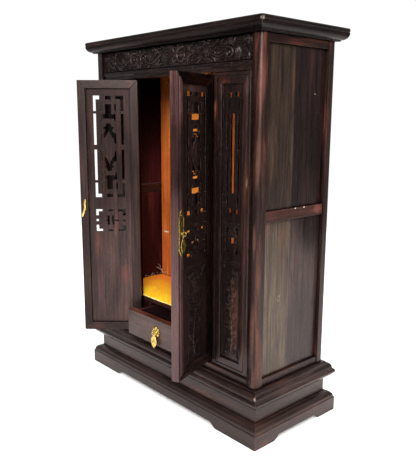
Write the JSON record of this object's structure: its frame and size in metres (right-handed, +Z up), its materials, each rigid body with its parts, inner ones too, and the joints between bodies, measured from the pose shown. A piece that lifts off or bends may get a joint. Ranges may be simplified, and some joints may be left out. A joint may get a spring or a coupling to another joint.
{
  "type": "household altar cabinet",
  "caption": "Dark hardwood household shrine cabinet with open fretwork doors, carved frieze, cloth-covered shelf in a niche, small drawer with brass pull, bracket-foot base.",
  "frame": {"origin": "ground level, under the centre of the bounding box with the doors and drawer open as stored", "axes": "+X to the viewer's right, +Y from the carved front to the back, +Z up; the open doors reach toward -Y"},
  "size_m": [0.325, 0.1957, 0.45],
  "materials": {
    "frame_wood": "satin dark hardwood",
    "carved_wood": "satin dark hardwood, carved",
    "side_board_wood": "satin dark hardwood with lighter streaks",
    "niche_wood": "warm orange-brown wood",
    "drawer_wood": "reddish-brown hardwood",
    "cloth": "golden yellow plush",
    "brass": "polished, lightly tarnished"
  },
  "bodies": {
    "cabinet": {"altar_cloth": "cloth", "back_frame": "frame_wood", "base_back": "frame_wood", "base_front": "frame_wood", "base_left": "frame_wood", "base_right": "frame_wood", "case_floor": "frame_wood", "cornice_back": "frame_wood", "cornice_front": "frame_wood", "cornice_left": "frame_wood", "cornice_right": "frame_wood", "drawer_guide_left": "frame_wood", "drawer_guide_right": "frame_wood", "fixed_panel_left": "carved_wood", "fixed_panel_right": "carved_wood", "frieze": "carved_wood", "head_rail": "frame_wood", "niche_back": "niche_wood", "nosing_back": "frame_wood", "nosing_front": "frame_wood", "nosing_left": "frame_wood", "nosing_right": "frame_wood", "post_back_left": "frame_wood", "post_back_right": "frame_wood", "post_front_left": "frame_wood", "post_front_right": "frame_wood", "shelf": "drawer_wood", "side_board_left_lower": "side_board_wood", "side_board_left_upper": "side_board_wood", "side_board_right_lower": "side_board_wood", "side_board_right_upper": "side_board_wood", "side_rail_left_bottom": "frame_wood", "side_rail_left_middle": "frame_wood", "side_rail_left_top": "frame_wood", "side_rail_right_bottom": "frame_wood", "side_rail_right_middle": "frame_wood", "side_rail_right_top": "frame_wood", "sill": "frame_wood", "top_panel": "frame_wood", "waist_back": "frame_wood", "waist_front": "frame_wood", "waist_left": "frame_wood", "waist_right": "frame_wood"},
    "left_door": {"left_door_board": "carved_wood", "left_door_bottom_rail": "frame_wood", "left_door_hinge_stile": "frame_wood", "left_door_meeting_stile": "frame_wood", "left_door_plate": "brass", "left_door_top_rail": "frame_wood"},
    "right_door": {"right_door_board": "carved_wood", "right_door_bottom_rail": "frame_wood", "right_door_hinge_stile": "frame_wood", "right_door_meeting_stile": "frame_wood", "right_door_plate": "brass", "right_door_top_rail": "frame_wood"},
    "drawer": {"drawer_box": "drawer_wood", "drawer_front": "drawer_wood", "drawer_pull": "brass"},
    "left_drop": {"left_door_drop": "brass"},
    "right_drop": {"right_door_drop": "brass"}
  },
  "joints": [
    {"name": "left_hinge", "type": "hinge", "parent": "cabinet", "child": "left_door", "pos_m": [-0.0718, -0.02779, 0.235], "axis": [0, 0, -1], "range_deg": [-132, 8]},
    {"name": "right_hinge", "type": "hinge", "parent": "cabinet", "child": "right_door", "pos_m": [0.0718, -0.02779, 0.235], "axis": [0, 0, 1], "range_deg": [-108.6, 8]},
    {"name": "drawer_slide", "type": "slide", "parent": "cabinet", "child": "drawer", "axis": [0, -1, 0], "range_m": [-0.0406, 0.004]},
    {"name": "left_drop_hinge", "type": "hinge", "parent": "left_door", "child": "left_drop", "pos_m": [-0.12038, -0.07285, 0.235], "axis": [0.6691, 0.7431, 0], "range_deg": [0, 75]},
    {"name": "right_drop_hinge", "type": "hinge", "parent": "right_door", "child": "right_drop", "pos_m": [0.09839, -0.08849, 0.235], "axis": [0.3173, -0.9483, 0], "range_deg": [0, 75]}
  ],
  "couplings": [
    {"joint": "right_hinge", "follows": "left_hinge", "ratio": 0.82197},
    {"joint": "drawer_slide", "follows": "left_hinge", "m_per_rad": 0.017579}
  ]
}
